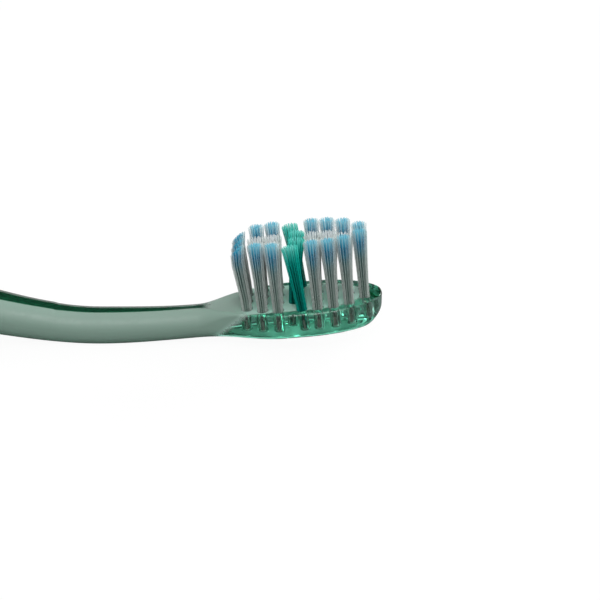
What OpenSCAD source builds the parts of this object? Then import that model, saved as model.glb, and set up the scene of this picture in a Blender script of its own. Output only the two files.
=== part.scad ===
// A manual toothbrush: one clear moulding that carries the head, neck and grip,
// and 28 tufts of filament, each folded over a flat metal anchor and pressed into its own hole.
// +X runs to the tip of the head, +Z to the ends of the bristles. All lengths are in millimetres.

/* [Brush] */
// Length from the tail to the tip of the head
brush_length = 190; // [175:1:215]
// Depth of the flats on which the brush rests, cut from its lowest places
rest_depth = 0.15; // [0.1:0.05:0.3]

/* [Head] */
// Width of the head at its widest
head_width = 11.2; // [10.8:0.1:13]
// Thickness of the head
head_thickness = 4.7; // [4.2:0.1:5.2]
// Length of the round nose, from the tip to the widest place
nose_length = 11; // [10:0.5:12.5]
// Fullness of the nose seen from above, where 2 is an ellipse
nose_fullness = 2.05; // [2:0.05:2.6]
// Distance from the tip to where the head starts to narrow
shoulder_distance = 14.4; // [12.8:0.1:16]
// Distance from the tip to where the head starts to thicken into the neck
plate_length = 21.8; // [21.6:0.1:24]
// Upward tilt of the head and its tufts, in degrees
head_pitch = 5.4; // [0:0.2:8]
// How far the head sits above the line of the neck
head_offset = 0.2; // [0:0.1:1]
// Rounding of the edge round the bristle face
head_top_radius = 0.4; // [0.2:0.1:0.6]
// Rounding of the edge round the back of the head
head_back_radius = 2; // [0.6:0.1:2.2]
// Radius with which the back of the head turns up to the tip
tip_radius = 2.8; // [2:0.1:3.4]

/* [Neck] */
// Distance from the tip to the narrowest place of the neck
neck_distance = 28; // [26:0.5:31]
// Width of the neck at its narrowest
neck_width = 5.2; // [4.8:0.1:6.4]
// Thickness of the neck at its narrowest
neck_thickness = 4.8; // [4.2:0.1:5.6]
// Rounding of the neck's edges
neck_radius = 2.2; // [1.4:0.1:2.6]
// Distance from the tip to the belly, the low place on which the neck rests
belly_distance = 43; // [40:0.5:47]
// Width at the belly
belly_width = 6; // [5.4:0.1:7.4]
// Thickness at the belly
belly_thickness = 5.1; // [4.6:0.1:6.4]
// Rounding of the edges at the belly
belly_radius = 2.3; // [1.4:0.1:2.8]
// Length over which the neck bends up to the head
bend_length = 14.2; // [10:0.2:15]

/* [Grip] */
// Distance from the tip to the widest place of the grip
grip_distance = 95; // [85:1:110]
// Width of the grip
grip_width = 12.6; // [10:0.1:15]
// Thickness of the grip
grip_thickness = 8; // [7:0.1:10]
// Rounding of the grip's edges
grip_radius = 3.7; // [2.6:0.1:4]
// Distance from the tip to the top of the arch
arch_distance = 80; // [70:1:90]
// Height of the middle of the grip over the table at the top of the arch
arch_height = 8.4; // [7:0.1:10]
// Width at the tail
tail_width = 9.6; // [8:0.1:12]
// Thickness at the tail
tail_thickness = 6.2; // [5:0.1:8]
// Rounding of the tail's edges
tail_radius = 2.8; // [2:0.1:3.2]
// Length of the domed end of the tail
tail_dome_length = 5; // [3:0.5:8]

/* [Thumb rest] */
// Distance from the tip to the step where the grip's upper side starts
step_distance = 49.3; // [48:0.1:52]
// Height of that step
step_height = 0.1; // [0.05:0.05:0.4]
// Distance from the tip to the front edge of the thumb rest
thumb_rest_distance = 60; // [58:0.5:62]
// Length of the thumb rest
thumb_rest_length = 42; // [38:0.5:50]
// Depth of the thumb rest
thumb_rest_depth = 0.7; // [0.5:0.05:1]
// Number of ribs on the thumb rest
rib_count = 8; // [4:1:8]
// Distance from rib to rib
rib_pitch = 2.8; // [2.2:0.1:3]
// Height of a rib
rib_height = 0.45; // [0.3:0.05:0.5]

/* [Tufts] */
// Distance from the tip to the first tufts
tip_tuft_distance = 2.7; // [2.6:0.1:3.2]
// Distance from column to column
column_pitch = 2.35; // [2.3:0.05:2.5]
// Distance between the columns on each side of the crossed tufts
crossed_gap = 5.9; // [5.6:0.1:6]
// Distance from row to row
row_pitch = 2.55; // [2.4:0.05:2.6]
// Diameter of a tuft's hole
hole_diameter = 1.6; // [1.4:0.05:1.7]
// Thickness of the plastic left under the holes
hole_floor = 1.6; // [1:0.1:1.8]
// Height of the bristles over the head
bristle_height = 11; // [9.5:0.1:12]
// How much lower the plain tufts are trimmed
plain_drop = 1.1; // [0:0.1:2]
// How much lower the crossed tufts are trimmed
crossed_drop = 0.6; // [0:0.1:2]
// Lean of the outer crossed tufts towards the handle, in degrees
back_lean = 5; // [3:0.5:7]
// Lean of the inner crossed tufts towards the tip, in degrees
forward_lean = 7.5; // [4:0.5:8]
// Width of one strand of bristle
strand_width = 0.24; // [0.18:0.01:0.25]
// How far the heel tufts flare towards the handle at their ends
heel_flare = 0.5; // [0:0.1:1]
// How much lower the heel tufts are trimmed on their handle side
heel_drop = 2.6; // [0:0.1:3]

/* [Anchors] */
// Thickness of an anchor
anchor_thickness = 0.25; // [0.2:0.05:0.3]
// Height of an anchor
anchor_height = 1.4; // [1:0.1:1.6]
// How far each end of an anchor bites into the wall of its hole
anchor_bite = 0.1; // [0.05:0.05:0.15]

/* [Hidden] */
// Clearance round a tuft's root and round its anchor
fit_clearance = 0.02;
// Length over which the step in front of the thumb rest rises
step_length = 0.8;
// Overrun of every cut
overrun = 1;
// How far the strands rise out of the root's solid end, and how far they are sunk in it
root_recess = 0.25;
strand_sink = 0.15;
// Thickness of the fold of filament under an anchor
fold_thickness = 0.35;

// Places of the two rings of strands round a tuft's middle strand, as shares of the root's radius
strand_ring_shares = [0.42, 0.81];
strand_ring_counts = [5, 8];
// Where a strand's middle section is, as a share of its height, and how far out the strands spread
// at the end, the middle and the root
middle_height_share = 0.5;
spread_shares = [1.24, 1.05, 1];
flare_shares = [1, 0.16, 0];

// How much narrower each of the outer columns is, as shares of the full distance between the rows
row_6_share = 0.96;
row_3_share = 0.98;
row_2_share = 0.86;
heel_row_share = 0.92;
row_7_share = 1.16;

// A rounding never takes more than this share of a half width or a half thickness
round_limit_share = 0.97;
// How far from the front edge of the thumb rest the first rib starts, and how far the first and
// last sections stand from the ends of the nose and the tail, in degrees of arc
rib_start_share = 0.36;
end_angle = 5;
// Sections along each stretch of the body, and points on each corner
nose_sections = 12;
shoulder_sections = 12;
neck_sections = 8;
rise_sections = 3;
step_sections = 4;
dish_sections = 5;
rib_sections = 5;
grip_sections = 20;
dome_sections = 8;
corner_steps = 6;

hole_depth = head_thickness - hole_floor;
root_diameter = hole_diameter - 2 * fit_clearance;
root_length = hole_depth - root_recess - fit_clearance;
anchor_width = hole_diameter + 2 * anchor_bite;
rib_zone_start = thumb_rest_distance + rib_start_share * thumb_rest_length;
rib_zone_length = rib_count * rib_pitch;
dome_distance = brush_length - tail_dome_length;

body_colour = "MediumSeaGreen";
anchor_colour = "Silver";
indicator_colour = "SteelBlue";
plain_colour = "WhiteSmoke";
crossed_colour = "Teal";

// Places of the columns of tufts, counted from the heel of the head to its tip
column_8 = tip_tuft_distance;
column_7 = column_8 + column_pitch;
column_6 = column_7 + column_pitch;
column_5 = column_6 + column_pitch;
column_3 = column_5 + crossed_gap;
column_2 = column_3 + column_pitch;
column_1 = column_2 + column_pitch;
outer_row = 1.5 * row_pitch;
inner_row = 0.5 * row_pitch;

// Each row: name of the tuft, distance from the tip, distance from the middle line, kind
function pair(name, distance, offset, kind) = [
    [str(name, "_right"), distance, -offset, kind],
    [str(name, "_left"), distance, offset, kind]
];
function full_column(number, distance, share) = concat(
    pair(str("indicator_tuft_", number), distance, share * outer_row, "indicator"),
    pair(str("plain_tuft_", number), distance, share * inner_row, "plain")
);
TUFTS = concat(
    pair("heel_tuft", column_1, heel_row_share * row_pitch, "heel"),
    [["heel_tuft_middle", column_1, 0, "heel"]],
    full_column(2, column_2, row_2_share),
    full_column(3, column_3, row_3_share),
    pair("crossed_tuft_inner", column_3 - column_pitch, inner_row, "crossed_forward"),
    pair("crossed_tuft_outer", column_5 + column_pitch, outer_row, "crossed_back"),
    full_column(5, column_5, 1),
    full_column(6, column_6, row_6_share),
    pair("indicator_tuft_7", column_7, row_7_share * row_pitch, "indicator"),
    [["plain_tuft_7_middle", column_7, 0, "plain"]],
    pair("tip_tuft", column_8, inner_row, "indicator")
);

// Outline of the moulding, as functions of the distance from the tip

function clamped(t) = max(0, min(1, t));
function smooth(t) = let (u = clamped(t)) u * u * (3 - 2 * u);
function ramp(d, d0, v0, d1, v1) = v0 + (v1 - v0) * smooth((d - d0) / (d1 - d0));
function through(d, stations) = let (
    after = [for (i = [1 : len(stations) - 1]) if (d <= stations[i][0]) i],
    i = len(after) > 0 ? after[0] : len(stations) - 1,
    a = stations[i - 1],
    b = stations[i]
) ramp(d, a[0], a[1], b[0], b[1]);

function nose_share(d) = d >= nose_length ? 1
    : pow(1 - pow((nose_length - d) / nose_length, nose_fullness), 1 / nose_fullness);
function dome_share(d) = d > dome_distance ? sqrt(1 - pow((d - dome_distance) / tail_dome_length, 2)) : 1;
function step(d) = step_height * smooth((d - step_distance) / step_length);
function edge_drop(d, radius) = d < radius ? radius - sqrt(pow(radius, 2) - pow(radius - d, 2)) : 0;

function half_width(d) = nose_share(d) * dome_share(d) * through(d, [
    [shoulder_distance, head_width / 2],
    [neck_distance, neck_width / 2],
    [belly_distance, belly_width / 2],
    [grip_distance, grip_width / 2],
    [brush_length, tail_width / 2]
]);
function half_thickness(d) = dome_share(d) * through(d, [
    [plate_length, head_thickness / 2],
    [neck_distance, neck_thickness / 2],
    [belly_distance, belly_thickness / 2],
    [grip_distance, grip_thickness / 2],
    [brush_length, tail_thickness / 2]
]);
function round_from(d, first_radius) = through(d, [
    [plate_length, first_radius],
    [neck_distance, neck_radius],
    [belly_distance, belly_radius],
    [grip_distance, grip_radius],
    [brush_length, tail_radius]
]);
function middle_height(d) = let (
    belly_height = belly_thickness / 2 - rest_depth,
    tail_height = tail_thickness / 2 - rest_depth,
    ahead = belly_distance - d
) ramp(d, plate_length, head_offset, neck_distance, 0) + (
    ahead > bend_length ? belly_height + tan(head_pitch) * (ahead - bend_length / 2)
    : ahead > 0 ? belly_height + tan(head_pitch) * pow(ahead, 2) / (2 * bend_length)
    : through(d, [
        [belly_distance, belly_height],
        [arch_distance, arch_height],
        [dome_distance, tail_height]
    ]));

// The thumb rest is a shallow arc across the top, with ribs that stand on its floor
function dish(d) = let (along = (d - thumb_rest_distance) / thumb_rest_length)
    along <= 0 || along >= 1 ? 0 : thumb_rest_depth * 4 * along * (1 - along);
function rib(d) = let (along = (d - rib_zone_start) / rib_pitch)
    along <= 0 || along >= rib_count ? 0 : rib_height * (1 - cos(360 * along)) / 2;

function top_height(d) = middle_height(d) + half_thickness(d) + dome_share(d) * step(d) - dish(d)
    + rib(d) - edge_drop(d, head_top_radius);
function back_height(d) = middle_height(d) - half_thickness(d) + edge_drop(d, tip_radius);

// One section of the body: four rounded corners, anticlockwise seen from the tip
function corner(y, z, radius, start) = [
    for (k = [0 : corner_steps])
        let (angle = start + 90 * k / corner_steps)
            [y + radius * cos(angle), z + radius * sin(angle)]
];
function section(d) = let (
    a = half_width(d),
    top = top_height(d),
    back = back_height(d),
    limit = round_limit_share * min(a, (top - back) / 2),
    top_radius = min(round_from(d, head_top_radius), limit),
    back_radius = min(round_from(d, head_back_radius), limit),
    outline = concat(
        corner(a - top_radius, top - top_radius, top_radius, 0),
        corner(top_radius - a, top - top_radius, top_radius, 90),
        corner(back_radius - a, back + back_radius, back_radius, 180),
        corner(a - back_radius, back + back_radius, back_radius, 270)
    )
) [for (p = outline) [brush_length / 2 - d, p[0], p[1]]];

function spaced(from, to, count) = [for (i = [1 : count]) from + (to - from) * i / count];
rib_zone_end = rib_zone_start + rib_zone_length;
section_distances = concat(
    [for (i = [0 : nose_sections])
        nose_length * (1 - cos(end_angle + (90 - end_angle) * i / nose_sections))],
    [shoulder_distance],
    spaced(shoulder_distance, neck_distance, shoulder_sections),
    spaced(neck_distance, belly_distance, neck_sections),
    spaced(belly_distance, step_distance, rise_sections),
    spaced(step_distance, step_distance + step_length, step_sections),
    spaced(step_distance + step_length, thumb_rest_distance, rise_sections),
    spaced(thumb_rest_distance, rib_zone_start, dish_sections),
    spaced(rib_zone_start, rib_zone_end, rib_count * rib_sections),
    spaced(rib_zone_end, thumb_rest_distance + thumb_rest_length, rise_sections),
    spaced(thumb_rest_distance + thumb_rest_length, dome_distance, grip_sections),
    [for (i = [1 : dome_sections])
        dome_distance + tail_dome_length * sin((90 - end_angle) * i / dome_sections)]
);

// A closed skin over a list of sections that have the same number of points, each anticlockwise
// seen from the first of them
module skin(sections) {
    size = len(sections[0]);
    last = len(sections) - 1;
    polyhedron(
        points = [for (s = sections) each s],
        faces = concat(
            [[for (k = [0 : size - 1]) size - 1 - k]],
            [for (i = [0 : last - 1]) for (k = [0 : size - 1]) each
                let (a = i * size + k, b = i * size + (k + 1) % size)
                    [[a, b, b + size], [a, b + size, a + size]]],
            [[for (k = [0 : size - 1]) last * size + k]]
        )
    );
}

// The frame of one tuft: its origin is on the bristle face, over the middle of its hole
function lean_of(kind) =
    kind == "crossed_back" ? back_lean : kind == "crossed_forward" ? -forward_lean : 0;
module at_tuft(t) {
    translate([brush_length / 2 - t[1], t[2], middle_height(t[1]) + head_thickness / 2])
        rotate([0, -head_pitch - lean_of(t[3]), 0])
            children();
}

module tuft_hole() {
    translate([0, 0, -hole_depth])
        cylinder(h = hole_depth + overrun, d = hole_diameter, $fn = 48);
}

module handle() {
    color(body_colour)
        difference() {
            skin([for (d = section_distances) section(d)]);
            translate([-brush_length, -grip_width, -overrun])
                cube([2 * brush_length, 2 * grip_width, overrun]);
            for (t = TUFTS)
                at_tuft(t) {
                    tuft_hole();
                    anchor(fit_clearance);
                }
        }
}

// The metal plate over which a tuft is folded, grown by clearance for the slots that it leaves in
// the root and in the wall of the hole
module anchor(clearance) {
    size = [anchor_thickness, anchor_width, anchor_height] + 2 * [clearance, clearance, clearance];
    translate([0, 0, fold_thickness + anchor_height / 2 - hole_depth])
        cube(size, center = true);
}

module tuft_anchors() {
    color(anchor_colour)
        for (t = TUFTS)
            at_tuft(t) anchor(0);
}

module root() {
    difference() {
        translate([0, 0, -root_recess - root_length])
            cylinder(h = root_length, d = root_diameter, $fn = 48);
        anchor(fit_clearance);
    }
}

// One strand: three square sections from its end down, at an angle and a radius round the tuft's axis
module strand(radius, angle, height, flare) {
    half = strand_width / 2;
    levels = [height, middle_height_share * height, -root_recess - strand_sink];
    skin([
        for (i = [0 : 2])
            let (out = radius * spread_shares[i])
                [for (p = [[-half, -half], [half, -half], [half, half], [-half, half]])
                    [
                        (out + p[0]) * cos(angle) - p[1] * sin(angle) - flare * flare_shares[i],
                        (out + p[0]) * sin(angle) + p[1] * cos(angle),
                        levels[i]
                    ]]
    ]);
}

// A tuft's middle strand and its two rings. The tuft may be trimmed lower on its handle side.
module strands(height, flare, drop) {
    strand(0, 0, height - drop / 2, flare);
    for (ring = [0 : len(strand_ring_counts) - 1])
        for (k = [0 : strand_ring_counts[ring] - 1]) {
            share = strand_ring_shares[ring];
            angle = 360 * k / strand_ring_counts[ring];
            strand(
                share * root_diameter / 2,
                angle,
                height - drop * (1 - share * cos(angle)) / 2,
                flare
            );
        }
}

module tuft(t) {
    kind = t[3];
    lean = lean_of(kind);
    heel = kind == "heel";
    drop = lean != 0 ? crossed_drop : kind == "plain" ? plain_drop : 0;
    height = (bristle_height - drop) / cos(lean);
    colour = lean != 0 ? crossed_colour : kind == "plain" ? plain_colour : indicator_colour;
    color(colour)
        at_tuft(t) {
            root();
            strands(height, heel ? heel_flare : 0, heel ? heel_drop : 0);
        }
}

handle();
tuft_anchors();
for (t = TUFTS)
    tuft(t);
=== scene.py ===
import math
import random

import bmesh
import bpy
from mathutils import Matrix, Vector


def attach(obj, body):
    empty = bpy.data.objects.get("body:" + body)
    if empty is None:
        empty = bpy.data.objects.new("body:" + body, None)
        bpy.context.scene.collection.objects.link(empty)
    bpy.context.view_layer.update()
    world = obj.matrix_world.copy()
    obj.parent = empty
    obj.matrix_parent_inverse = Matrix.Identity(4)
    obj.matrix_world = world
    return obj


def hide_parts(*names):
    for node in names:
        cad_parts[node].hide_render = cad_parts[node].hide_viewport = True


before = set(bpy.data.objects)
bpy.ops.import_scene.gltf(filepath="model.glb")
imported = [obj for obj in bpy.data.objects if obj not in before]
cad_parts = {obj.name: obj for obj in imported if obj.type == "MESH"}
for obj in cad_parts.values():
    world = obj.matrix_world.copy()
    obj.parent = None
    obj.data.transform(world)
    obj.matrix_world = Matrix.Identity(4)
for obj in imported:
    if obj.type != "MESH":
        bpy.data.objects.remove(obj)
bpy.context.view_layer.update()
mm = 0.001

# The camera stands at the photograph's viewing angle. Its places are in millimetres, from the
# middle of the brush's footprint.
cameraLook = {
    "aim": (82.6, 0, 6.7),
    "elevation": 27.5,
    "distance": 220,
    "lens": 87,
    "sensor": 36,
    "nearClip": 10,
}


def makeCamera(look):
    data = bpy.data.cameras.new("camera")
    data.lens = look["lens"]
    data.sensor_width = look["sensor"]
    data.clip_start = look["nearClip"] * mm
    camera = bpy.data.objects.new("camera", data)
    bpy.context.scene.collection.objects.link(camera)
    lift = math.radians(look["elevation"])
    away = Vector((0, -math.cos(lift), math.sin(lift))) * look["distance"]
    camera.location = (Vector(look["aim"]) + away) * mm
    camera.rotation_euler = (math.radians(90 - look["elevation"]), 0, 0)
    bpy.context.scene.camera = camera


# Meshes are made in millimetres and scaled to metres when they are finished


def newPiece(name, bm, material):
    mesh = bpy.data.meshes.new(name)
    bm.to_mesh(mesh)
    bm.free()
    mesh.materials.append(material)
    piece = bpy.data.objects.new(name, mesh)
    bpy.context.scene.collection.objects.link(piece)
    return piece


def finishPiece(piece, nodes, sharpAngle):
    piece.data.transform(Matrix.Scale(mm, 4))
    piece.data.shade_smooth()
    piece.data.set_sharp_from_angle(angle=math.radians(sharpAngle))
    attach(piece, "root")
    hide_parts(*nodes)


def loftRings(bm, rings):
    # A circle takes the first ring's shape, and each later ring is extruded from the one before it
    corners = bmesh.ops.create_circle(bm, segments=len(rings[0]), radius=1)["verts"]
    for corner, place in zip(corners, rings[0]):
        corner.co = place
    made = list(corners)
    edges = [bm.edges.get((a, b)) for a, b in zip(corners, corners[1:] + corners[:1])]
    ends = list(edges)
    for ring in rings[1:]:
        grown = bmesh.ops.extrude_edge_only(bm, edges=edges)["geom"]
        corners = [g for g in grown if isinstance(g, bmesh.types.BMVert)]
        for corner, place in zip(corners, ring):
            corner.co = place
        made += corners
        edges = [bm.edges.get((a, b)) for a, b in zip(corners, corners[1:] + corners[:1])]
    bmesh.ops.holes_fill(bm, edges=ends + edges, sides=0)
    return made


# Materials


def newMaterial(name):
    material = bpy.data.materials.new(name)
    material.use_nodes = True
    return material, material.node_tree


def setInputs(tree, node, inputs):
    # Each socket takes either a link from another node or a fixed value
    for key, value in inputs.items():
        if isinstance(value, bpy.types.NodeSocket):
            tree.links.new(value, node.inputs[key])
        else:
            node.inputs[key].default_value = value
    return node


def addNode(tree, kind, inputs, **settings):
    node = tree.nodes.new("ShaderNode" + kind)
    for name, value in settings.items():
        setattr(node, name, value)
    return setInputs(tree, node, inputs)


def objectPlace(tree, turn=0, move=(0, 0, 0)):
    # Object coordinates in millimetres, turned about Y
    place = addNode(tree, "TexCoord", {}).outputs["Object"]
    mapping = {"Vector": place, "Scale": (1 / mm,) * 3, "Rotation": (0, turn, 0), "Location": move}
    return addNode(tree, "Mapping", mapping).outputs["Vector"]


def stretched(tree, place, scale):
    return addNode(tree, "Mapping", {"Vector": place, "Scale": scale}).outputs["Vector"]


def split(tree, vector):
    return addNode(tree, "SeparateXYZ", {"Vector": vector}).outputs


def noise(tree, place, grainSize, detail):
    texture = {"Vector": place, "Scale": 1 / grainSize, "Detail": detail}
    return addNode(tree, "TexNoise", texture).outputs["Fac"]


def calculate(tree, operation, a, b):
    return addNode(tree, "Math", {0: a, 1: b}, operation=operation).outputs["Value"]


def mapRange(tree, value, source, target, smooth=False):
    limits = {
        "Value": value,
        "From Min": source[0],
        "From Max": source[1],
        "To Min": target[0],
        "To Max": target[1],
    }
    way = "SMOOTHSTEP" if smooth else "LINEAR"
    return addNode(tree, "MapRange", limits, interpolation_type=way).outputs["Result"]


def mix(tree, share, first, second, kind="RGBA"):
    inputs = {"Factor": share, "A": first, "B": second}
    return addNode(tree, "Mix", inputs, data_type=kind).outputs["Result"]


def mixShaders(tree, share, first, second):
    inputs = {"Fac": share, 1: first.outputs[0], 2: second.outputs[0]}
    both = addNode(tree, "MixShader", inputs)
    tree.links.new(both.outputs["Shader"], tree.nodes["Material Output"].inputs["Surface"])


def colourRamp(tree, value, stops, interpolation="LINEAR"):
    node = addNode(tree, "ValToRGB", {"Fac": value})
    ramp = node.color_ramp
    ramp.interpolation = interpolation
    while len(ramp.elements) < len(stops):
        ramp.elements.new(1)
    for element, (place, colour) in zip(ramp.elements, stops):
        element.position = place
        element.color = (*colour, 1)
    return node.outputs["Color"]


# Distances are in millimetres, and a pair runs from one end of a change to the other
plasticLook = {
    "clearTint": (0.90, 0.97, 0.93, 1),
    # The deep green strip tint is painted shade on the handle's polished top strip
    "stripTint": (0.10, 0.58, 0.34, 1),
    "stripTintAlong": (66, 61),
    "satinTint": (0.32, 0.46, 0.39, 1),
    "absorbs": (0.05, 0.90, 0.69, 1),
    "density": 125,
    "ior": 1.53,
    "roughness": (0.02, 0.45),
    "clearness": (1, 0.35),
    "satinAlong": (69.2, 67),
    "satinTilt": (0.04, 0.13),
    "farEdge": 0.36,
    "heelAlong": (67.5, 69.5),
    "faceTilt": (0.92, 0.96),
    "fieldNose": 84,
    "fieldLength": 8.2,
    "fieldHalfWidth": 4.3,
    "fieldRim": (0.95, 1.05),
    "fieldSatin": 0.85,
    # The pale colour of the bristle field is a painted sheen
    "fieldTint": (0.66, 1.0, 0.88, 1),
    "waveSize": 5,
    "waveHeight": 0.02,
    "waveDetail": 1,
    "scratchSize": 0.35,
    "scratchDetail": 4,
    "scratchRange": (0.35, 0.7),
    "scratchRoughening": (0.8, 1.4),
}


def clearPlastic(look):
    material, tree = newMaterial("clearGreenPlastic")
    place = objectPlace(tree)
    at = split(tree, place)
    normal = split(tree, addNode(tree, "TexCoord", {}).outputs["Normal"])
    # Satin on the sides and the back of the handle, polished on its top
    slanted = calculate(tree, "SUBTRACT", at["X"], at["Z"])
    handle = mapRange(tree, slanted, look["satinAlong"], (0, 1), True)
    # The polished strip goes further round on the far edge than on the near one
    near = calculate(tree, "MULTIPLY", normal["Y"], -1)
    far = calculate(tree, "SUBTRACT", normal["Y"], look["farEdge"])
    sideways = calculate(tree, "MAXIMUM", near, far)
    sides = mapRange(tree, sideways, look["satinTilt"], (0, 1), True)
    back = calculate(tree, "LESS_THAN", normal["Z"], 0)
    onHandle = calculate(tree, "MULTIPLY", handle, calculate(tree, "MAXIMUM", sides, back))
    # The bristle field of the head is satin too, inside a clear rim. Its pale satin colour is a
    # painted sheen, standing in for the reflection of the lamps on the plate, and painted light
    # against the shade of the tufts
    ahead = calculate(tree, "SUBTRACT", at["X"], look["fieldNose"])
    ahead = calculate(tree, "MAXIMUM", ahead, 0)
    outward = addNode(tree, "CombineXYZ", {
        "X": calculate(tree, "DIVIDE", ahead, look["fieldLength"]),
        "Y": calculate(tree, "DIVIDE", at["Y"], look["fieldHalfWidth"]),
    }).outputs["Vector"]
    distance = addNode(tree, "VectorMath", {0: outward}, operation="LENGTH").outputs["Value"]
    field = mapRange(tree, distance, look["fieldRim"], (look["fieldSatin"], 0), True)
    face = mapRange(tree, normal["Z"], look["faceTilt"], (0, 1))
    heel = mapRange(tree, at["X"], look["heelAlong"], (0, 1), True)
    onHead = calculate(tree, "MULTIPLY", field, calculate(tree, "MULTIPLY", face, heel))
    satin = calculate(tree, "MAXIMUM", onHandle, onHead)
    # The clear plastic of the polished strip is tinted a much deeper green behind the head: painted
    # shade, darkening the strip where it shows the shadowed floor beneath the handle
    strip = mapRange(tree, at["X"], look["stripTintAlong"], (0, 1), True)
    clearTint = mix(tree, strip, look["clearTint"], look["stripTint"])
    # On the head the satin colour is the bristle field's painted sheen; on the handle it is the
    # handle's own satin colour
    satinTint = mix(tree, handle, look["fieldTint"], look["satinTint"])
    # Fine scratches make the gloss uneven, and the moulding's faces are slightly wavy
    scratches = noise(tree, place, look["scratchSize"], look["scratchDetail"])
    worn = mapRange(tree, scratches, look["scratchRange"], look["scratchRoughening"])
    wave = noise(tree, place, look["waveSize"], look["waveDetail"])
    bump = {"Height": wave, "Strength": 1, "Distance": look["waveHeight"] * mm}
    evenRoughness = mapRange(tree, satin, (0, 1), look["roughness"])
    setInputs(tree, tree.nodes["Principled BSDF"], {
        "Base Color": mix(tree, satin, clearTint, satinTint),
        "Roughness": calculate(tree, "MULTIPLY", evenRoughness, worn),
        "Transmission Weight": mapRange(tree, satin, (0, 1), look["clearness"]),
        "IOR": look["ior"],
        "Normal": addNode(tree, "Bump", bump).outputs["Normal"],
    })
    absorbed = {"Color": look["absorbs"], "Density": look["density"]}
    volume = addNode(tree, "VolumeAbsorption", absorbed).outputs["Volume"]
    tree.links.new(volume, tree.nodes["Material Output"].inputs["Volume"])
    return material


# Colours go up the bristles: each stop has a height over the head in millimetres and a colour.
# Besides the blue dye of the indicator tufts, the stops hold painted shade low down in the tufts, a
# painted green reflection of the head near it, and painted light at the tops of the green tufts.
# Clearness runs from a tuft's core to its outer filaments, which keep only a small share of the
# colour and are otherwise a pale colour: painted shade in the core of the tuft and painted light on
# its edges.
indicatorLook = {
    "name": "indicatorFilament",
    "undyed": (0.92, 0.99, 0.95, 1),
    "outerDye": 0.16,
    # Dark and greenish low down: painted shade and a painted reflection of the green head; the blue
    # higher up is the dye
    "stops": (
        (0, (0.08, 0.19, 0.14)),
        (3, (0.11, 0.20, 0.17)),
        (6.4, (0.14, 0.24, 0.22)),
        (7.7, (0.02, 0.30, 0.42)),
        (8.9, (0.0, 0.24, 0.46)),
        (9.8, (0.06, 0.54, 0.76)),
        (10.7, (0.26, 0.72, 0.86)),
    ),
    "clearness": (0.5, 0.84),
}
plainLook = {
    "name": "plainFilament",
    "undyed": (0.92, 0.99, 0.95, 1),
    "outerDye": 0.2,
    # Darker and greener low down: painted shade and a painted reflection of the green head
    "stops": (
        (0, (0.70, 0.84, 0.77)),
        (5, (0.82, 0.90, 0.86)),
        (8, (0.88, 0.93, 0.93)),
        (11, (0.90, 0.95, 0.97)),
    ),
    "clearness": (0.5, 0.75),
}
greenLook = {
    "name": "greenFilament",
    "undyed": (0.0, 0.80, 0.64, 1),
    "outerDye": 0.4,
    # Near black low down and pale mint at the tops: painted shade and painted light on filaments of
    # one green
    "stops": (
        (0, (0.0, 0.012, 0.01)),
        (3, (0.0, 0.03, 0.024)),
        (7, (0.0, 0.22, 0.18)),
        (9.2, (0.01, 0.62, 0.53)),
        (10.8, (0.30, 0.86, 0.79)),
    ),
    "clearness": (0.35, 0.68),
}
filamentLook = {
    "ior": 1.53,
    "roughness": 0.3,
    "shineLevel": 0.2,
    "streakSize": 0.16,
    "streakLength": 8,
    "streakDetail": 1,
    "streakRange": (0.25, 0.75),
    "streakShade": (0.9, 1.1),
    "unevenDye": 0.8,
    "height": 12,
    "coreToOuter": (0.5, 0.95),
}


def filamentMaterial(look, shared, tilt, mouthHeight):
    material, tree = newMaterial(look["name"])
    place = objectPlace(tree, turn=tilt, move=(0, 0, -mouthHeight))
    # Each filament keeps its own chance and its distance from the tuft's axis
    own = split(tree, addNode(tree, "UVMap", {}, uv_map="filament").outputs["UV"])
    unevenness = (-shared["unevenDye"] / 2, shared["unevenDye"] / 2)
    uneven = mapRange(tree, own["X"], (0, 1), unevenness)
    height = calculate(tree, "ADD", split(tree, place)["Z"], uneven)
    heightShare = calculate(tree, "DIVIDE", height, shared["height"])
    # The colour up the filaments holds the dye together with painted shade and painted light
    stops = [(level / shared["height"], colour) for level, colour in look["stops"]]
    colourWithShade = colourRamp(tree, heightShare, stops, "B_SPLINE")
    # The core takes the full colour and the outer filaments mostly the pale one: painted shade in the
    # core, painted light on the tuft's edges
    shadeAndColourShare = mapRange(tree, own["Y"], shared["coreToOuter"], (1, look["outerDye"]))
    clearness = mapRange(tree, own["Y"], shared["coreToOuter"], look["clearness"])
    # Faint streaks run along the filaments
    drawnOut = stretched(tree, place, (1, 1, 1 / shared["streakLength"]))
    streak = noise(tree, drawnOut, shared["streakSize"], shared["streakDetail"])
    tone = addNode(tree, "HueSaturation", {
        "Color": mix(tree, shadeAndColourShare, look["undyed"], colourWithShade),
        "Value": mapRange(tree, streak, shared["streakRange"], shared["streakShade"]),
    })
    nylon = setInputs(tree, tree.nodes["Principled BSDF"], {
        "Base Color": tone.outputs["Color"],
        "Roughness": shared["roughness"],
        "IOR": shared["ior"],
        "Specular IOR Level": shared["shineLevel"],
    })
    mixShaders(tree, clearness, nylon, addNode(tree, "BsdfTransparent", {}))
    return material


# The clear moulding. Every place along it is a distance d from the tip of the head.

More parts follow.
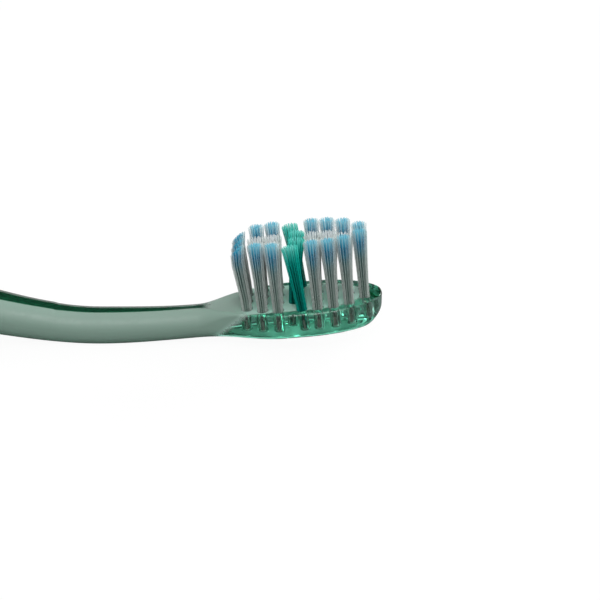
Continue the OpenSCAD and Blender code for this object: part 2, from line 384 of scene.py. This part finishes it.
handleSize = {
    "length": 190,
    "restDepth": 0.15,
    "headWidth": 11.2,
    "headThickness": 4.7,
    "noseLength": 11,
    "noseFullness": 2.05,
    "shoulder": 14.4,
    "plateLength": 21.8,
    "headPitch": 5.4,
    "headOffset": 0.2,
    "topRadius": 0.4,
    "backRadius": 2,
    "tipRadius": 2.8,
    "neck": 28,
    "neckWidth": 5.2,
    "neckThickness": 4.8,
    "neckRadius": 2.2,
    "belly": 43,
    "bellyWidth": 6,
    "bellyThickness": 5.1,
    "bellyRadius": 2.3,
    "bendLength": 14.2,
    "grip": 95,
    "gripWidth": 12.6,
    "gripThickness": 8,
    "gripRadius": 3.7,
    "arch": 80,
    "archHeight": 8.4,
    "tailWidth": 9.6,
    "tailThickness": 6.2,
    "tailRadius": 2.8,
    "domeLength": 5,
    "stepPlace": 49.3,
    "stepHeight": 0.1,
    "stepLength": 0.8,
    "thumbRest": 60,
    "thumbRestLength": 42,
    "thumbRestDepth": 0.7,
    "ribStartShare": 0.36,
    "ribCount": 8,
    "ribPitch": 2.8,
    "ribHeight": 0.45,
    "roundLimitShare": 0.97,
    "sharpAngle": 32,
    "cornerPoints": 9,
    "topPoints": 7,
    "sidePoints": 2,
    "neckSections": 34,
    "bellySections": 20,
    "stepSections": 6,
    "gripSections": 8,
    "restSections": 10,
    "sectionsPerRib": 10,
    "restEndSections": 5,
    "tailSections": 40,
    "noseAngles": (1, *range(3, 91, 3)),
    "domeAngles": (*range(6, 85, 6), 87, 89),
}
size = handleSize
dome = size["length"] - size["domeLength"]
ribStart = size["thumbRest"] + size["ribStartShare"] * size["thumbRestLength"]
ribEnd = ribStart + size["ribCount"] * size["ribPitch"]


def smooth(t):
    t = min(max(t, 0), 1)
    return t * t * (3 - 2 * t)


def through(d, *stations):
    # A value that turns smoothly from each station's to the next one's
    later = [i for i in range(1, len(stations)) if d <= stations[i][0]]
    i = later[0] if later else len(stations) - 1
    (startAt, start), (endAt, end) = stations[i - 1], stations[i]
    return start + (end - start) * smooth((d - startAt) / (endAt - startAt))


def noseShare(d):
    if d >= size["noseLength"]:
        return 1
    fullness = size["noseFullness"]
    return (1 - ((size["noseLength"] - d) / size["noseLength"]) ** fullness) ** (1 / fullness)


def domeShare(d):
    return math.sqrt(1 - ((d - dome) / size["domeLength"]) ** 2) if d > dome else 1


def alongHandle(d, start, first, measure):
    # One measure of the section, from the head over the neck, the belly and the grip to the tail
    stations = [(size[place], size[place + measure]) for place in ("neck", "belly", "grip")]
    return through(d, (start, first), *stations, (size["length"], size["tail" + measure]))


def halfWidth(d):
    width = alongHandle(d, size["shoulder"], size["headWidth"], "Width")
    return noseShare(d) * domeShare(d) * width / 2


def halfThickness(d):
    return domeShare(d) * alongHandle(d, size["plateLength"], size["headThickness"], "Thickness") / 2


def rounding(d, first):
    return alongHandle(d, size["plateLength"], first, "Radius")


def middleHeight(d):
    bellyHeight = size["bellyThickness"] / 2 - size["restDepth"]
    tailHeight = size["tailThickness"] / 2 - size["restDepth"]
    slope = math.tan(math.radians(size["headPitch"]))
    ahead = size["belly"] - d
    lift = through(d, (size["plateLength"], size["headOffset"]), (size["neck"], 0))
    if ahead > size["bendLength"]:
        return lift + bellyHeight + slope * (ahead - size["bendLength"] / 2)
    if ahead > 0:
        return lift + bellyHeight + slope * ahead ** 2 / (2 * size["bendLength"])
    return lift + through(
        d, (size["belly"], bellyHeight), (size["arch"], size["archHeight"]), (dome, tailHeight))


def edgeDrop(d, radius):
    # The top and the back turn down towards each other at the tip
    return radius - math.sqrt(radius ** 2 - (radius - d) ** 2) if d < radius else 0


def dish(d):
    along = (d - size["thumbRest"]) / size["thumbRestLength"]
    return size["thumbRestDepth"] * 4 * along * (1 - along) if 0 < along < 1 else 0


def rib(d):
    along = (d - ribStart) / size["ribPitch"]
    if not 0 < along < size["ribCount"]:
        return 0
    return size["ribHeight"] * (1 - math.cos(2 * math.pi * along)) / 2


def stepRise(d):
    return size["stepHeight"] * smooth((d - size["stepPlace"]) / size["stepLength"])


def sectionRing(d):
    wide = halfWidth(d)
    top = middleHeight(d) + halfThickness(d) + domeShare(d) * stepRise(d)
    top += rib(d) - dish(d) - edgeDrop(d, size["topRadius"])
    back = middleHeight(d) - halfThickness(d) + edgeDrop(d, size["tipRadius"])
    limit = size["roundLimitShare"] * min(wide, (top - back) / 2)
    topRadius = min(rounding(d, size["topRadius"]), limit)
    backRadius = min(rounding(d, size["backRadius"]), limit)
    centres = (
        (wide - topRadius, top - topRadius, topRadius),
        (topRadius - wide, top - topRadius, topRadius),
        (backRadius - wide, back + backRadius, backRadius),
        (wide - backRadius, back + backRadius, backRadius),
    )
    ring = []
    for quarter, (y, z, radius) in enumerate(centres):
        for k in range(size["cornerPoints"]):
            angle = math.pi / 2 * (quarter + k / (size["cornerPoints"] - 1))
            ring.append((y + radius * math.cos(angle), z + radius * math.sin(angle)))
        # A few points along the flat that leads to the next corner
        between = size["topPoints"] if quarter % 2 == 0 else size["sidePoints"]
        nextY, nextZ, nextRadius = centres[(quarter + 1) % 4]
        angle = math.pi / 2 * (quarter + 1)
        ahead = (nextY + nextRadius * math.cos(angle), nextZ + nextRadius * math.sin(angle))
        here = ring[-1]
        for k in range(1, between + 1):
            share = k / (between + 1)
            ring.append(tuple(a + (b - a) * share for a, b in zip(here, ahead)))
    return [(size["length"] / 2 - d, y, z) for y, z in ring]


def spaced(start, end, count):
    return [start + (end - start) * i / count for i in range(1, count + 1)]


def sectionPlaces():
    nose = [size["noseLength"] * (1 - math.cos(math.radians(turn))) for turn in size["noseAngles"]]
    end = [dome + size["domeLength"] * math.sin(math.radians(turn)) for turn in size["domeAngles"]]
    stepEnd = size["stepPlace"] + size["stepLength"]
    restEnd = size["thumbRest"] + size["thumbRestLength"]
    return (
        nose
        + spaced(size["noseLength"], size["neck"], size["neckSections"])
        + spaced(size["neck"], size["stepPlace"], size["bellySections"])
        + spaced(size["stepPlace"], stepEnd, size["stepSections"])
        + spaced(stepEnd, size["thumbRest"], size["gripSections"])
        + spaced(size["thumbRest"], ribStart, size["restSections"])
        + spaced(ribStart, ribEnd, size["ribCount"] * size["sectionsPerRib"])
        + spaced(ribEnd, restEnd, size["restEndSections"])
        + spaced(restEnd, dome, size["tailSections"])
        + end
    )


# The frame of each tuft comes from its own solid: the axis and depth of its root, and its top

tuftSize = {
    "backLean": 5,
    "forwardLean": -7.5,
    "rootBand": 2,
    "holeClearance": 0.02,
    "holeDepth": 3.1,
    "mouthRadius": 0.12,
    "floorRadius": 0.2,
    "holeSides": 40,
    "roundSteps": 4,
    "overrun": 0.6,
}


def tuftFrame(node):
    lean = 0
    if node.startswith("crossed_tuft_inner"):
        lean = tuftSize["forwardLean"]
    if node.startswith("crossed_tuft_outer"):
        lean = tuftSize["backLean"]
    tilt = math.radians(size["headPitch"] + lean)
    points = [Matrix.Rotation(tilt, 3, "Y") @ v.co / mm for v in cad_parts[node].data.vertices]
    bottom = min(p.z for p in points)
    root = [p for p in points if p.z < bottom + tuftSize["rootBand"]]
    middle = [(min(p[i] for p in root) + max(p[i] for p in root)) / 2 for i in (0, 1)]
    radius = (max(p.y for p in root) - min(p.y for p in root)) / 2
    mouth = bottom - tuftSize["holeClearance"] + tuftSize["holeDepth"]
    place = Matrix.Rotation(-tilt, 4, "Y") @ Matrix.Translation((*middle, mouth))
    return {
        "node": node,
        "place": place,
        "radius": radius + tuftSize["holeClearance"],
        "height": max(p.z for p in points) - mouth,
        "lean": lean,
    }


tuftFrames = [tuftFrame(n) for n in sorted(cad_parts) if n not in ("handle", "tuft_anchors")]


def roundedCorner(radius):
    # Each step of a rounded corner, as its distances from the two faces that meet there
    steps = tuftSize["roundSteps"]
    turns = [k * math.pi / (2 * steps) for k in range(steps + 1)]
    return [(radius * (1 - math.sin(turn)), radius * (1 - math.cos(turn))) for turn in turns]


def holeCutters():
    bm = bmesh.new()
    mouthRadius = tuftSize["mouthRadius"]
    sides = tuftSize["holeSides"]
    turns = [2 * math.pi * k / sides for k in range(sides)]
    for tuft in tuftFrames:
        radius = tuft["radius"]
        profile = [(radius - inward, up - tuftSize["holeDepth"])
                   for inward, up in roundedCorner(tuftSize["floorRadius"])]
        profile += [(radius + outward, -down) for down, outward in roundedCorner(mouthRadius)]
        profile.append((radius + mouthRadius, tuftSize["overrun"]))
        circles = [[Vector((r * math.cos(t), r * math.sin(t), z)) for t in turns] for r, z in profile]
        loftRings(bm, [[tuft["place"] @ corner for corner in circle] for circle in circles])
    bmesh.ops.recalc_face_normals(bm, faces=bm.faces)
    return newPiece("holeCutters", bm, None)


def makeHandle(material):
    bm = bmesh.new()
    loftRings(bm, [sectionRing(d) for d in sectionPlaces()])
    # The flats on which the brush rests
    cut = bmesh.ops.bisect_plane(bm, geom=[*bm.verts, *bm.edges, *bm.faces], plane_co=(0, 0, 0),
                                 plane_no=(0, 0, -1), clear_outer=True)["geom_cut"]
    rims = [item for item in cut if isinstance(item, bmesh.types.BMEdge)]
    bmesh.ops.holes_fill(bm, edges=rims, sides=0)
    bmesh.ops.recalc_face_normals(bm, faces=bm.faces)
    handle = newPiece("clearHandle", bm, material)
    cutters = holeCutters()
    holes = handle.modifiers.new("holes", "BOOLEAN")
    holes.solver = "EXACT"
    holes.object = cutters
    graph = bpy.context.evaluated_depsgraph_get()
    handle.data = bpy.data.meshes.new_from_object(handle.evaluated_get(graph))
    handle.modifiers.clear()
    bpy.data.objects.remove(cutters)
    finishPiece(handle, ["handle"], size["sharpAngle"])
    weighted = handle.modifiers.new("evenShading", "WEIGHTED_NORMAL")
    weighted.keep_sharp = True


# Filaments: each is folded round the anchor's lower edge, so it has two ends

filamentSize = {
    "diameter": 0.15,
    "sides": 6,
    "sharpAngle": 50,
    "endRadiusShare": 0.5,
    "endLengthShare": 0.6,
    "anchorThickness": 0.25,
    "anchorHeight": 1.4,
    "anchorBottom": -2.75,
    "foldRoom": 0.33,
    "mostLayers": 4,
    "rowPitch": 0.14,
    "stagger": 0.618,
    "staggerShare": 0.6,
    "levels": (1, 0.8, 0.5, 0.2, 0),
    "fanPower": 1.7,
    "topRadius": {"heel": 1.05, "indicator": 1.14, "plain": 1.4, "crossed": 1.2, "tip": 1.12},
    "mixing": 0.03,
    "sway": 0.02,
    "trim": 0.03,
    "domeDrop": 0.18,
    "heelFlare": 0.5,
    "heelFlareTurn": 0.75,
    "heelDrop": 1.5,
}


def foldedPlaces(radius):
    # Rows across the anchor, and layers out from it, as far as the round hole has room
    look = filamentSize
    thick, room = look["diameter"], radius - look["diameter"] / 2
    first = look["anchorThickness"] / 2 + thick / 2
    rows = int(room / look["rowPitch"])
    for row in range(-rows, rows + 1):
        across = row * look["rowPitch"]
        reach = math.sqrt(room ** 2 - across ** 2)
        layers = int((reach - first) / thick + 1)
        apart = reach / (layers - 0.5)
        stagger = apart * (row * look["stagger"] % 1 - 0.5) * look["staggerShare"]
        for layer in range(layers):
            yield {
                "across": across,
                "atAnchor": first + thick * layer,
                "atMouth": apart * (layer + 0.5),
                "stagger": stagger,
                "drop": look["foldRoom"] * (layer + 1) / look["mostLayers"],
            }


def scatter(chance, spread):
    return Vector((chance.gauss(0, spread), chance.gauss(0, spread)))


def filamentEnd(tuft, place, side, chance):
    # The centre line of one end, from its tip down to the anchor's lower edge
    look = filamentSize
    kind = tuft["node"].split("_")[0]
    topRadius, room = look["topRadius"][kind], tuft["radius"] - look["diameter"] / 2
    # Above the anchor the two halves close up, and they fan out towards their tips
    start = Vector((side * place["atMouth"] + place["stagger"], place["across"]))
    start *= min(1, room / start.length)
    tip = start * topRadius / room + scatter(chance, look["mixing"])
    # The top of a tuft is slightly domed, and a heel tuft's slopes down to the handle
    top = tuft["height"] - chance.uniform(0, look["trim"])
    top -= look["domeDrop"] * (tip.length / topRadius) ** 3
    if kind == "heel":
        top -= look["heelDrop"] * (1 - tip.x / topRadius) / 2
    line = []
    for up in look["levels"]:
        here = start.lerp(tip, up ** look["fanPower"])
        if 0 < up < 1:
            here += scatter(chance, look["sway"])
        if kind == "heel":
            here.x -= look["heelFlare"] * math.sin(math.pi * look["heelFlareTurn"] * up ** 2)
        line.append(Vector((*here, top * up)))
    for up in (look["anchorHeight"], 0):
        line.append(Vector((side * place["atAnchor"], place["across"], look["anchorBottom"] + up)))
    return line


def ringAround(centre, direction, radius):
    # Corners of a ring square to the filament, with no twist from ring to ring
    side = direction.cross(Vector((0, 1, 0))).normalized()
    other = side.cross(direction).normalized()
    count = filamentSize["sides"]
    return [centre + radius * (side * math.cos(a) + other * math.sin(a))
            for a in (2 * math.pi * k / count for k in range(count))]


def filamentRings(line):
    radius = filamentSize["diameter"] / 2
    last = len(line) - 1
    rings = []
    for i, centre in enumerate(line):
        direction = (line[min(i + 1, last)] - line[max(i - 1, 0)]).normalized()
        if 0 < i < last:
            rings.append(ringAround(centre, direction, radius))
            continue
        # Both ends are polished round
        inward = direction if i == 0 else -direction
        inner = centre + inward * radius * filamentSize["endLengthShare"]
        end = [
            ringAround(centre, direction, radius * filamentSize["endRadiusShare"]),
            ringAround(inner, direction, radius),
        ]
        rings += end if i == 0 else end[::-1]
    return rings


def makeTuft(tuft, material):
    chance = random.Random(tuft["node"])
    bm = bmesh.new()
    uv = bm.loops.layers.uv.new("filament")
    for place in foldedPlaces(tuft["radius"]):
        fold = Vector((0, place["across"], filamentSize["anchorBottom"] - place["drop"]))
        left = filamentEnd(tuft, place, -1, chance)
        right = filamentEnd(tuft, place, 1, chance)
        own = (chance.random(), math.hypot(place["atMouth"], place["across"]) / tuft["radius"])
        for corner in loftRings(bm, filamentRings(left + [fold] + right[::-1])):
            for loop in corner.link_loops:
                loop[uv].uv = own
    bmesh.ops.recalc_face_normals(bm, faces=bm.faces)
    bmesh.ops.transform(bm, matrix=tuft["place"], verts=bm.verts)
    name = "".join(word.capitalize() for word in tuft["node"].split("_"))
    piece = newPiece(name[0].lower() + name[1:], bm, material)
    finishPiece(piece, [tuft["node"]], filamentSize["sharpAngle"])


# Anchors keep their solids and get stamped metal

anchorLook = {
    "colour": (0.42, 0.42, 0.37, 1),
    "roughness": (0.28, 0.52),
    "grain": 0.08,
    "grainLength": 10,
    "grainDetail": 2,
    "grainRange": (0.3, 0.7),
}


def anchorMetal(look):
    material, tree = newMaterial("anchorMetal")
    drawnOut = stretched(tree, objectPlace(tree), (1, 1 / look["grainLength"], 1))
    grain = noise(tree, drawnOut, look["grain"], look["grainDetail"])
    setInputs(tree, tree.nodes["Principled BSDF"], {
        "Base Color": look["colour"],
        "Metallic": 1,
        "Roughness": mapRange(tree, grain, look["grainRange"], look["roughness"]),
    })
    return material


# The studio: a white floor, soft daylight from all round, one soft lamp in front and one behind
# on the right. The sky's stops have a height, from 0 at the horizon to 1 overhead, and a level.

studioLook = {
    "floorSide": 3000,
    "floorDrop": 0.02,
    "floorColour": 0.16,
    "floorGlow": 0.6,
    "daylight": 0.66,
    "glossStops": ((0, 1), (0.25, 1), (0.36, 0.02), (0.6, 0.02), (0.85, 1), (1, 1)),
    "throughStops": ((0, 0.05), (0.22, 0.1), (0.34, 1), (1, 1)),
    "lamps": (
        {"name": "softLamp", "place": (160, -780, 900), "side": 700, "power": 7},
        {"name": "edgeLamp", "place": (640, 480, 280), "side": 400, "power": 3.8},
    ),
}


def makeFloor(look):
    material, tree = newMaterial("studioFloor")
    # Only the camera sees the floor glow white: the object is lit by its dull colour
    seen = addNode(tree, "LightPath", {}).outputs["Is Camera Ray"]
    dull = setInputs(tree, tree.nodes["Principled BSDF"], {
        "Base Color": (look["floorColour"],) * 3 + (1,),
        "Roughness": 1,
        "Specular IOR Level": 0,
        "Emission Color": (1, 1, 1, 1),
        "Emission Strength": calculate(tree, "MULTIPLY", seen, 1 - look["floorColour"]),
    })
    glowShare = calculate(tree, "MULTIPLY", seen, look["floorGlow"])
    mixShaders(tree, glowShare, dull, addNode(tree, "Emission", {}))
    bm = bmesh.new()
    bmesh.ops.create_grid(bm, x_segments=2, y_segments=2, size=look["floorSide"] / 2)
    bmesh.ops.translate(bm, vec=(0, 0, -look["floorDrop"]), verts=bm.verts)
    floor = newPiece("studioFloor", bm, material)
    floor.data.transform(Matrix.Scale(mm, 4))


def makeSky(look):
    world = bpy.data.worlds.new("studio")
    world.use_nodes = True
    bpy.context.scene.world = world
    tree = world.node_tree
    up = split(tree, addNode(tree, "TexCoord", {}).outputs["Generated"])["Z"]
    rays = addNode(tree, "LightPath", {}).outputs
    # Gloss shows a dim band between a white horizon and a white sky, and clear plastic shows
    # a dim horizon under a white sky
    light = look["daylight"]
    for ray, stops in (("Is Glossy Ray", "glossStops"), ("Is Transmission Ray", "throughStops")):
        levels = [(height, (level,) * 3) for height, level in look[stops]]
        light = mix(tree, rays[ray], light, colourRamp(tree, up, levels), "FLOAT")
    setInputs(tree, tree.nodes["Background"], {
        "Color": (1, 1, 1, 1),
        "Strength": calculate(tree, "MAXIMUM", light, rays["Is Camera Ray"]),
    })


def makeLamp(look):
    data = bpy.data.lights.new(look["name"], "AREA")
    data.size = look["side"] * mm
    data.energy = look["power"]
    lamp = bpy.data.objects.new(look["name"], data)
    bpy.context.scene.collection.objects.link(lamp)
    lamp.location = Vector(look["place"]) * mm
    toHead = Vector(cameraLook["aim"]) * mm - lamp.location
    lamp.rotation_euler = toHead.to_track_quat("-Z", "Y").to_euler()


makeCamera(cameraLook)
makeFloor(studioLook)
makeSky(studioLook)
for lampLook in studioLook["lamps"]:
    makeLamp(lampLook)
print("studio ready")
makeHandle(clearPlastic(plasticLook))
print("handle ready")
# Heights on the filaments are measured from the plate of the head, which is pitched
pitch = math.radians(size["headPitch"])
upright = next(tuft for tuft in tuftFrames if tuft["lean"] == 0)
plateHeight = (Matrix.Rotation(pitch, 3, "Y") @ upright["place"].translation).z
filaments = {look["name"]: filamentMaterial(look, filamentLook, pitch, plateHeight)
             for look in (indicatorLook, plainLook, greenLook)}
for tuft in tuftFrames:
    kind = "indicator"
    if tuft["node"].startswith("plain"):
        kind = "plain"
    if tuft["lean"]:
        kind = "green"
    makeTuft(tuft, filaments[kind + "Filament"])
print("tufts ready")
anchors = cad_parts["tuft_anchors"].data.materials
anchors.clear()
anchors.append(anchorMetal(anchorLook))
print("anchors ready")

bpy.context.scene.view_settings.view_transform = "Standard"
